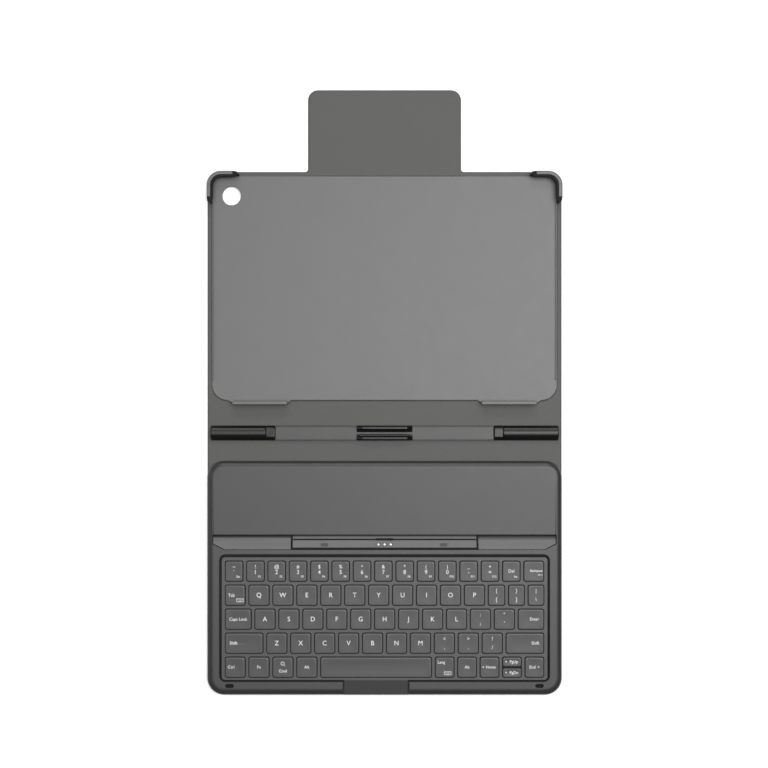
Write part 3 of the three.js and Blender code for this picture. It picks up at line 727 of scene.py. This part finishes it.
def well_cutter(low, top):
    """The keys' opening: straight up round the key plate, then sloping to the well's outline on top."""
    x0, front, _, x1, rear, plate_top = box_mm("key_plate")
    gap, flare, segments = 0.3, 0.2, 6
    shaft = rectangle(x0 - gap, front - gap, x1 + gap, rear + gap, 2.8)
    well = rectangle(-WELL["half"], WELL["front"], WELL["half"], WELL["rear"], WELL["radius"])
    levels = [(shaft, low), (shaft, plate_top - 0.1), (well, top - flare), (inset(well, -flare), top),
              (inset(well, -flare), top + 1)]
    rings = [[(p.x, p.y, z) for p in trace(corners, segments)] for corners, z in levels]
    return rings_mesh("cutter", rings)


def notch_cutter(front, top):
    """The thumb notch: its floor is level with the key plate and falls a little towards the front edge."""
    plate_top = box_mm("key_plate")[5]
    fall, flare, past = 1.0, 1.5, 3
    rear = WELL["front"] + 1.5
    section = [(front - past, plate_top - fall * 1.2, 0.05), (rear, plate_top, 0.05), (rear, top + 1, 0.05),
               (front - past, top + 1, 0.05)]
    shape = bar("cutter", section, [(0, NOTCH_LEFT), (0, NOTCH_RIGHT)], 1)
    mouth = flared(rectangle(NOTCH_LEFT, front - past, NOTCH_RIGHT, rear, 0.1), top - 1.7, top, flare)
    boolean(shape, "UNION", mouth)
    return shape


def foot_pocket(side, top):
    x0, y0, z0, x1, y1, _ = box_mm(f"rubber_foot_{side}")
    edge = 0.05
    pocket = rectangle(x0 + edge, y0 + edge, x1 - edge, y1 - edge, (y1 - y0) / 2 - 0.07)
    return flared(pocket, z0 - 0.3, top, 0.12)


def rubber_feet():
    for side in ("left", "right"):
        x0, y0, z0, x1, y1, z1 = box_mm(f"rubber_foot_{side}")
        outline = inset(rectangle(x0, y0, x1, y1, (y1 - y0) / 2 - 0.02), 0.1)
        levels = [(0, z0), (0, z1 - 0.3), (0.12, z1 - 0.12), (0.4, z1 - 0.02), (0.8, z1)]
        pad = smooth(slab(f"foot_pad_{side}", outline, levels, 8))
        dress(pad, RUBBER, "rubber", "keyboard", [f"rubber_foot_{side}"])


# ------------ dock
STRIP_FRONT, STRIP_TOP = -107.9, 6.5
SLOT_FLOOR = 4.5
RAMP_REAR, RAMP_FRONT = -108.8, -114.0
PINS = ("left", "centre", "right")
PIN_Y = -112.0
MARK_Y = -112.2
MARKS = {"left": -44.2, "right": 43.5}


def dock_tilt():
    axis = joint_named("pogo_pin_centre_travel")["axis"]
    return math.atan2(-axis[1], -axis[2])


def ramp_height(y):
    """Height of the dock bar's sloping top."""
    return 7.35 + (-108.7 - y) * math.tan(dock_tilt())


def on_ramp(shape, x, y):
    """Sets a shape that is made round the origin square on the dock bar's sloping top."""
    place = Matrix.Translation(Vector((x, y, ramp_height(y))) * MM)
    shape.data.transform(place @ Matrix.Rotation(-dock_tilt(), 4, "X"))
    return shape


def pin_x(name):
    box = box_mm(f"pogo_pin_{name}")
    return (box[0] + box[3]) / 2


def dock_ledges():
    """The ledges at both ends of the bar: a wall at the rear, a valley, and a slope like the bar's."""
    x0, front, z0, x1, rear, z1 = box_mm("dock_ledge_right")
    wall_top = 7.2
    valley, valley_z = -107.2, 4.2
    front_z = valley_z + (valley - front) * math.tan(dock_tilt())
    section = [(front, z0, 0.1), (rear, z0, 0.1), (rear, wall_top, 0.2), (valley, valley_z, 0.4),
               (front, front_z, 0.25)]
    ledge = bar("dock_ledge_right_detail", section, [(0.2, x0), (0, x0 + 0.2), (0, x1 + 0.5)])
    keep = slab("cutter", groove_outline(0.3), [(0, z0 - 1), (0, z1 + 2)], 4)
    boolean(ledge, "INTERSECT", keep)
    smooth(ledge, 25)
    twin = mirrored(ledge, "dock_ledge_left_detail")
    dress(ledge, DOCK, "dock", "keyboard", ["dock_ledge_right"])
    dress(twin, DOCK, "dock", "keyboard", ["dock_ledge_left"])


def dock_bar_extent():
    """The bar's box, shorter than in CAD at the ends and the front so that its gaps show there."""
    x0, front, z0, x1, rear, z1 = box_mm("dock_bar")
    end_gap, front_gap, rear_reach = 0.8, 1.0, 0.4
    return x0 + end_gap, front + front_gap, z0, x1 - end_gap, rear + rear_reach, z1


def dock_gap_shade():
    """Painted shade: a dull black sheet at the bottom of the gaps round the dock bar and its ledges."""
    gap_shade = slab("dock_gap_shade", groove_outline(0.1), [(0, 3.2), (0, 5.4), (0.1, 5.5)], 4)
    cutters = []
    boxes = [dock_bar_extent(), box_mm("dock_ledge_left"), box_mm("dock_ledge_right")]
    for x0, front, z0, x1, rear, z1 in boxes:
        cutters.append(slab("cutter", rectangle(x0, front, x1, rear), [(0, z0 - 1), (0, z1 + 1)], 1))
    boolean(gap_shade, "DIFFERENCE", *cutters)
    dress(smooth(gap_shade), LINER_AND_GAP_SHADE, "black", "keyboard")


def dock_bar():
    """A strip along the rear, a slot, and a sloping face with a recess, pin holes and two inlaid marks."""
    x0, front, z0, x1, rear, z1 = dock_bar_extent()
    foot, crest = ramp_height(RAMP_REAR), ramp_height(RAMP_FRONT)
    section = [(front, z0, 0.1), (rear, z0, 0.1), (rear, STRIP_TOP - 0.9, 0.25),
               (STRIP_FRONT, STRIP_TOP, 0.2), (STRIP_FRONT, SLOT_FLOOR, 0.1), (RAMP_REAR, SLOT_FLOOR, 0.1),
               (RAMP_REAR, foot, 0.3), (RAMP_FRONT, crest, 0.5), (front, crest - 1, 0.6)]
    body = bar("dock_bar_detail", section, both_ends([(0.35, 0), (0.1, 0.1), (0, 0.35)], x0, x1))
    recess = rectangle(-6.6, STRIP_FRONT - 1.4, 6.6, STRIP_FRONT + 0.4, 0.4)
    cutters = [slab("cutter", recess, [(0, 4.35), (0, z1 + 1)], 3)] + pin_holes() + dock_marks()
    boolean(body, "DIFFERENCE", *cutters)
    dress(smooth(body), DOCK, "dock", "keyboard", ["dock_bar"])
    # painted shade at the bottom of the slot and the recess
    dock_slot_shade(x0, x1)
    contact_pins()


def pin_holes():
    """A cutter with a flared mouth for each contact pin."""
    levels = [(0, -1.2), (0, -0.15), (-0.15, 0), (-0.4, 1.5)]
    square = rectangle(-1.2, -1.2, 1.2, 1.2, 1.18)
    return [on_ramp(slab("cutter", square, levels, 6), pin_x(name), PIN_Y) for name in PINS]


def dock_marks():
    """Makes the two dark inlays and returns the cutters of their seats."""
    seats = []
    for name, x in MARKS.items():
        seat = slab("cutter", rectangle(-2.7, -1.2, 2.7, 1.2, 0.4), [(0, -0.8), (0, 1)], 4)
        inlay = slab(f"dock_mark_{name}", rectangle(-2.65, -1.15, 2.65, 1.15, 0.35),
                     [(0, -0.8), (0, -0.15), (0.1, -0.05)], 4)
        seats.append(on_ramp(seat, x, MARK_Y))
        dress(smooth(on_ramp(inlay, x, MARK_Y)), DECK, "deck", "keyboard")
    return seats


def dock_slot_shade(x0, x1):
    """Painted shade: a dull black bottom in the slot along the bar and in the recess in its middle."""
    recess = rectangle(-6.4, STRIP_FRONT - 1.2, 6.4, STRIP_FRONT + 0.2, 0.3)
    dark_part = slab("pogo_recess_shade", recess, [(0, 4.4), (0, 4.8), (0.15, 4.9)], 3)
    slot = rectangle(x0 + 0.6, RAMP_REAR + 0.03, x1 - 0.6, STRIP_FRONT - 0.03, 0.1)
    boolean(dark_part, "UNION", slab("slot", slot, [(0, SLOT_FLOOR - 0.1), (0, 5.0), (0.05, 5.05)], 2))
    dress(smooth(dark_part), LINER_AND_GAP_SHADE, "black", "keyboard")


def contact_pins():
    profile = [(0.95, -2.45), (0.95, 0.55), (0.9, 0.68), (0.75, 0.8), (0.5, 0.86), (0.25, 0.89), (0.08, 0.9)]
    sides = 24
    turn = [2 * math.pi * k / sides for k in range(sides)]
    rings = [[(r * math.cos(a), r * math.sin(a), height) for a in turn] for r, height in profile]
    for name in PINS:
        pin = on_ramp(rings_mesh(f"contact_pin_{name}", rings), pin_x(name), PIN_Y)
        dress(smooth(pin), GOLD, "gold", f"pogo_pin_{name}", [f"pogo_pin_{name}"])


# ------------ keys
GAP_BETWEEN_HOLES = 2.15
CLEARANCE = 0.45
LETTER_WIDTH = 15.45
HALF_KEY_GAP = 0.7
CAP_ANGLE = 50
NUMBER_ROW = "`1234567890-="


def run(names, width=LETTER_WIDTH):
    return [(name, width) for name in names]


KEY_ROWS = [
    run(NUMBER_ROW, 13.53) + [("delete", 13.53), ("backspace", 15.2)],
    [("tab", 15.2)] + run("qwertyuiop") + [("[", 12.7), ("]", 12.3), ("\\", 12.2)],
    [("caps_lock", 19.6)] + run("asdfghjkl;'") + [("enter", 19.4)],
    [("shift_left", 28.3)] + run("zxcvbnm") + run(["comma", "period", "slash"]) + [("shift_right", 28.3)],
    [("ctrl", 15.2)] + run(["fn", "cmd", "alt_left"]) + [("space", 82.1)]
    + run(["language", "alt_right", "home", "page", "end"], 14.35),
]
FIRST_NODES = ["keys_number_row", "key_tab", "key_caps_lock", "key_shift_left", "key_ctrl"]
ROW_NODES = ["keys_number_row", "keys_upper_row", "keys_home_row"]
WORDS = {  # key: (text, capital height, offset from the key's centre, alignment)
    "delete": ("Del", 2.1, 0, 0, "CENTER"), "backspace": ("Backspace", 1.45, 6.3, 0.2, "RIGHT"),
    "tab": ("Tab", 2.15, -5.2, -0.2, "LEFT"), "caps_lock": ("Caps Lock", 2.05, 0, -0.1, "CENTER"),
    "enter": ("Enter", 2.05, 5.9, 0, "RIGHT"), "shift_left": ("Shift", 2.15, -10.6, 0, "LEFT"),
    "shift_right": ("Shift", 2.15, 10.5, 0, "RIGHT"), "ctrl": ("Ctrl", 2.0, -5.4, 0, "LEFT"),
    "fn": ("Fn", 2.0, 0, 0, "CENTER"), "cmd": ("Cmd", 2.0, 0, -2.9, "CENTER"),
    "alt_left": ("Alt", 2.0, 0, 0, "CENTER"), "alt_right": ("Alt", 2.0, 0, 0, "CENTER"),
    "language": ("Lang", 2.0, -5.2, 3.6, "LEFT"), "home": ("Home", 1.9, 0.9, 0, "CENTER"),
    "page_up": ("PgUp", 1.95, 1.4, 0, "CENTER"), "page_down": ("PgDn", 1.95, 1.4, 0, "CENTER"),
    "end": ("End", 2.05, -1.5, 0, "CENTER"),
}
ARROWS = {"home": (-4.7, "left"), "page_up": (-4.3, "up"), "page_down": (-4.3, "down"),
          "end": (3.0, "right")}
ARROW_SIZE, ARROW_RISE = 0.75, 0.35
ICONS = {"tab": (3.6, -3.6), "language": (2.3, -4.2)}
PLAIN_NAMES = {"comma": ",", "period": ".", "slash": "/"}
SHIFTED = dict(zip(NUMBER_ROW + "[]\\;'", "~!@#$%^&*()_+{}|:\""), comma="<", period=">", slash="?")
SMALL_LABELS = {"`": "Esc", "delete": "Ins"}
SMALL_LABELS.update({key: f"F{number}" for number, key in enumerate(NUMBER_ROW[1:], 1)})
SAFE = {"`": "grave", "-": "minus", "=": "equals", "[": "bracket_open", "]": "bracket_close",
        "\\": "backslash", ";": "semicolon", "'": "quote"}
LETTER_HEIGHT = 3.1
SIGN_HEIGHT, SIGN_OFFSET = 2.4, 3.2
DIGIT_HEIGHT, DIGIT_DROP = 2.75, 0.8
SMALL_HEIGHT, SMALL_RIGHT, SMALL_DROP = 1.4, 3.2, 4.1
PRINT_THICKNESS = 0.02
PRINT_STRETCH = 0.96
PRINT_SIZE = 1.1
PRINT_LIFT = 0.35
CAPITAL_SHARE = 0.7  # height of a capital as a share of the font's size


def print_text(text, x, y, z, height, align="CENTER"):
    """Legend text as a thin solid: x is its centre or end, y the middle of a capital's height."""
    height *= PRINT_SIZE
    curve = bpy.data.curves.new("legend", "FONT")
    curve.body = text
    curve.size = height / CAPITAL_SHARE * MM
    curve.align_x = align
    curve.extrude = PRINT_THICKNESS / 2 * MM
    curve.offset = (0.03 if height < 2.2 else 0.02) * MM  # small print is a little bolder
    curve.resolution_u = 3
    obj = new_object("legend", curve)
    graph = bpy.context.evaluated_depsgraph_get()
    mesh = bpy.data.meshes.new_from_object(obj.evaluated_get(graph), depsgraph=graph)
    bpy.data.objects.remove(obj)
    mesh.transform(Matrix.Diagonal((PRINT_STRETCH, 1, 1, 1)))
    mesh.transform(Matrix.Translation(Vector((x, y + PRINT_LIFT - height / 2, z)) * MM))
    return new_object("legend", mesh)


def print_polygon(points, z):
    rings = [[(x, y, z + h) for x, y in points] for h in (-PRINT_THICKNESS / 2, PRINT_THICKNESS / 2)]
    return rings_mesh("legend", rings)


def print_bar(x0, y0, x1, y1, z):
    return print_polygon([(x0, y0), (x1, y0), (x1, y1), (x0, y1)], z)


def print_frame(x, y, z, width, height, line):
    """An outline box made of four strokes."""
    w, h = width / 2, height / 2
    strokes = [(-w, -h, w, -h + line), (-w, h - line, w, h), (-w, -h + line, -w + line, h - line),
               (w - line, -h + line, w, h - line)]
    return [print_bar(x + left, y + low, x + right, y + high, z) for left, low, right, high in strokes]


def print_disc(x, y, z, outer, inner=None):
    """A dot, or a ring if it has an inner radius."""
    sides = 20
    turn = [2 * math.pi * k / sides for k in range(sides + 1)]
    rim = [(x + outer * math.cos(a), y + outer * math.sin(a)) for a in turn]
    if inner is None:
        return print_polygon(rim[:-1], z)
    hole = [(x + inner * math.cos(a), y + inner * math.sin(a)) for a in turn]
    pieces = [print_polygon([rim[k], rim[k + 1], hole[k + 1], hole[k]], z) for k in range(sides)]
    return joined("legend", pieces)


def print_arrow(x, y, z, size, direction):
    """A small solid triangle."""
    angle = {"left": math.pi, "right": 0, "up": math.pi / 2, "down": -math.pi / 2}[direction]
    along, across = math.cos(angle), math.sin(angle)
    corners = [(size, 0), (-size * 0.6, size * 0.85), (-size * 0.6, -size * 0.85)]
    return print_polygon([(x + u * along - v * across, y + u * across + v * along) for u, v in corners], z)


def keyboard_icon(x, y, z):
    parts = print_frame(x, y, z, 5.2, 2.6, 0.28)
    for i in range(4):
        parts.append(print_disc(x - 1.65 + 1.1 * i, y + 0.4, z, 0.26))
    parts.append(print_bar(x - 1.2, y - 0.75, x + 1.2, y - 0.42, z))
    return parts


def magnifier_icon(x, y, z):
    handle = [(0.85, -0.65), (1.1, -0.9), (1.95, -1.75), (1.7, -1.95), (0.65, -0.9)]
    return [print_disc(x, y, z, 1.35, 0.95), print_polygon([(x + u, y + v) for u, v in handle], z)]


def legends(key, x, y, z):
    """The print on one key, as a list of objects."""
    parts = []
    if key in WORDS:
        text, height, dx, dy, align = WORDS[key]
        parts.append(print_text(text, x + dx, y + dy, z, height, align))
    elif key in SHIFTED:
        parts.append(print_text(SHIFTED[key], x, y + SIGN_OFFSET, z, SIGN_HEIGHT))
        drop, height = (DIGIT_DROP, DIGIT_HEIGHT) if key in NUMBER_ROW else (SIGN_OFFSET, SIGN_HEIGHT)
        parts.append(print_text(PLAIN_NAMES.get(key, key), x, y - drop, z, height))
    elif len(key) == 1:
        parts.append(print_text(key.upper(), x, y, z, LETTER_HEIGHT))
    if key in SMALL_LABELS:
        parts.append(print_text(SMALL_LABELS[key], x + SMALL_RIGHT, y - SMALL_DROP, z, SMALL_HEIGHT))
    if key == "backspace":
        parts.append(print_arrow(x + 3.6, y - 2.6, z, ARROW_SIZE, "left"))
        parts.append(print_bar(x + 3.6, y - 2.75, x + 6.4, y - 2.45, z))
    if key in ICONS:
        dx, dy = ICONS[key]
        parts += keyboard_icon(x + dx, y + dy, z)
    if key == "cmd":
        parts += magnifier_icon(x - 0.2, y + 2.9, z)
    if key in ARROWS:
        dx, way = ARROWS[key]
        parts.append(print_arrow(x + dx, y + ARROW_RISE, z, ARROW_SIZE, way))
    return parts


def cap_shape(name, corners, z0, z1):
    """A keycap: upright side, rounded edge and a gently dished top whose rings keep round corners."""
    fillet, dish, lean, segments = 0.5, 0.09, 0.04, 6
    levels = [(0.1, z0), (0, z0 + 0.1), (0, z1 - fillet - 0.25), (lean, z1 - fillet)]
    for i in range(1, 5):
        angle = math.pi / 2 * i / 4
        levels.append((lean + fillet * (1 - math.cos(angle)), z1 - fillet * (1 - math.sin(angle))))
    rings = [[(p.x, p.y, z) for p in trace(inset(corners, d), segments)] for d, z in levels]
    (x0, y0, radius), (x1, y1, _) = corners[0], corners[2]
    reach = min(x1 - x0, y1 - y0) / 2
    for share in (0.06, 0.16, 0.3, 0.55, 0.82):
        d = fillet + lean + (reach - fillet) * share
        ring = rectangle(x0 + d, y0 + d, x1 - d, y1 - d, min(radius + d * 0.7, (reach - d) * 0.97))
        z = z1 - dish * (1 - math.cos(math.pi / 2 * min(1, share * 1.5)))
        rings.append([(p.x, p.y, z) for p in trace(ring, segments)])
    return rings_mesh(name, rings)


def homing_bar(middle, y, z1):
    """The raised bar that lets a finger find the key."""
    outline = rectangle(middle - 1.6, y, middle + 1.6, y + 0.5, 0.24)
    return slab("bump", outline, rounded(z1 - 0.3, z1 + 0.12, 0, 0.15, 2), 4)


def keycap(name, key, corners, z0, z1, body):
    x0, y0 = corners[0][:2]
    x1, y1 = corners[2][:2]
    middle = (x0 + x1) / 2
    cap = cap_shape(name, corners, z0, z1)
    parts = legends(key, middle, (y0 + y1) / 2, z1 + 0.005)
    if key in ("f", "j"):
        cap = joined(name, [cap, homing_bar(middle, y0 + 3.0, z1)])
    smooth(cap, CAP_ANGLE)
    cap.data.materials.append(KEYCAP)
    if parts:
        printed = joined("print", parts)
        for polygon in printed.data.polygons:
            polygon.material_index = 1
        cap.data.materials.append(LEGEND)
        cap = joined_keeping_materials(name, cap, printed)
    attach(cap, body)
    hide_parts(body)


def joined_keeping_materials(name, cap, printed):
    bm = bmesh.new()
    bm.from_mesh(cap.data)
    bm.from_mesh(printed.data)
    mesh = mesh_from(name, bm)
    for material in cap.data.materials:
        mesh.materials.append(material)
    for obj in (cap, printed):
        bpy.data.objects.remove(obj)
    mesh.set_sharp_from_angle(angle=math.radians(CAP_ANGLE))
    return new_object(name, mesh)


def row_frame(row):
    """Left edge of the row's first key hole, the row's lower and upper edges, and its caps' heights."""
    x0, y0, z0, _, y1, z1 = box_mm(FIRST_NODES[row])
    return x0 - CLEARANCE, y0 - CLEARANCE, y1 + CLEARANCE, z0, z1


def key_layout():
    """Every key as (key, row, x0, x1, y0, y1) of its hole."""
    for row, keys_in_row in enumerate(KEY_ROWS):
        x, y0, y1, _, _ = row_frame(row)
        for key, width in keys_in_row:
            yield key, row, x, x + width, y0, y1
            x += width + GAP_BETWEEN_HOLES


def keys():
    for key, row, x0, x1, y0, y1 in key_layout():
        z0, z1 = row_frame(row)[3:]
        halves = [(key, y0 + CLEARANCE, y1 - CLEARANCE)]
        if key == "page":
            middle = (y0 + y1) / 2
            halves = [("page_up", middle + HALF_KEY_GAP, y1 - CLEARANCE),
                      ("page_down", y0 + CLEARANCE, middle - HALF_KEY_GAP)]
        for label, low, high in halves:
            name = SAFE.get(label, label)
            body = f"key_{name}" if f"key_{name}" in frame["nodes"] else ROW_NODES[row]
            corners = rectangle(x0 + CLEARANCE, low, x1 - CLEARANCE, high, 1.5)
            keycap(f"cap_{name}", label, corners, z0, z1, body)


def key_plate():
    x0, y0, z0, x1, y1, z1 = box_mm("key_plate")
    tab = y0 - 0.29
    outline = [(x0, y0, 2.5), (NOTCH_LEFT, y0, 0.05), (NOTCH_LEFT, tab, 0.05), (NOTCH_RIGHT, tab, 0.05),
               (NOTCH_RIGHT, y0, 0.05), (x1, y0, 2.5), (x1, y1, 2.5), (x0, y1, 2.5)]
    plate = slab("key_plate_detail", outline, rounded(z0, z1, 0.1, 0.1, 2), 6)
    holes = []
    for _, _, left, right, front, rear in key_layout():
        holes.append(flared(rectangle(left, front, right, rear, 1.7), z0 - 1, z1, 0.18))
    boolean(plate, "DIFFERENCE", joined("cutters", holes))
    dress(smooth(plate), PLATE, "key_plate", "keyboard", ["key_plate"])


# ------------ CAD pieces that stay
def hidden_pieces():
    # the domes' near black colour is painted shade in the gaps round the keys
    looks = {"bottom_case": DECK, "key_support_plate": STEEL, "dome_membrane": KEY_GAP_SHADE,
             "controller_board": LACQUER, "tongue_magnet": STEEL, "dock_magnet_left": STEEL,
             "dock_magnet_right": STEEL, "pogo_block": BLACK}
    for node, material in looks.items():
        for slot in frame["nodes"][node].material_slots:
            slot.link = "OBJECT"
            slot.material = material


# ------------ studio, in metres
def floor():
    """White paper just under the case, lit from within a little so that it stays white."""
    half, height = 4.0, -0.0004
    corners = [(-half, -half, height), (half, -half, height), (half, half, height), (-half, half, height)]
    mesh = bpy.data.meshes.new("floor")
    mesh.from_pydata(corners, [], [(0, 1, 2, 3)])
    ground = new_object("floor", mesh)
    paper = Surface("paper_floor", (0.86, 0.86, 0.86), 0.9, specular=0.1)
    paper.tint(paper.noise(3), 0.004)
    paper.polish(paper.noise(30), 0.02)
    paper.shader.inputs["Emission Color"].default_value = (1, 1, 1, 1)
    paper.shader.inputs["Emission Strength"].default_value = 0.25
    ground.data.materials.append(paper.material)


def area_light(name, location, target, size, power):
    data = bpy.data.lights.new(name, "AREA")
    data.shape = "RECTANGLE"
    data.size, data.size_y = size
    data.energy = power
    light = bpy.data.objects.new(name, data)
    bpy.context.scene.collection.objects.link(light)
    light.location = location
    aim = Vector(target) - Vector(location)
    light.rotation_euler = aim.to_track_quat("-Z", "Y").to_euler()


def studio():
    area_light("overhead", (0.2, 0.45, 3.0), (0.2, 0.45, 0), (2.6, 2.6), 50)
    area_light("right_fill", (0.95, 0.3, 3.0), (0.2, 0.1, 0), (1.2, 2.0), 42)
    area_light("strip", (0.1, -0.1, 3.0), (0.1, -0.1, 0), (2.6, 0.12), 12)
    area_light("rear_fill", (0.0, 2.6, 2.4), (0, 0, 0), (2.0, 1.0), 38)
    area_light("left_fill", (-2.6, 0.3, 1.5), (0, 0, 0), (1.0, 2.0), 12)
    world = bpy.data.worlds.new("studio")
    world.use_nodes = True
    background = world.node_tree.nodes["Background"]
    background.inputs["Color"].default_value = (1, 1, 1, 1)
    background.inputs["Strength"].default_value = 0.115
    bpy.context.scene.world = world
    bpy.context.scene.view_settings.view_transform = "Standard"


def camera():
    data = bpy.data.cameras.new("camera")
    data.lens = 85
    data.clip_start, data.clip_end = 0.05, 20
    cam = bpy.data.objects.new("camera", data)
    bpy.context.scene.collection.objects.link(cam)
    cam.location = (-0.0004, 0.0059, 1.340)
    cam.rotation_euler = (0, 0, 0)
    bpy.context.scene.camera = cam


camera()
studio()
floor()
soft_cover()
tablet_shell()
corner_guards()
stylus_holder()
deck()
rubber_feet()
dock_ledges()
dock_gap_shade()
dock_bar()
key_plate()
keys()
hidden_pieces()
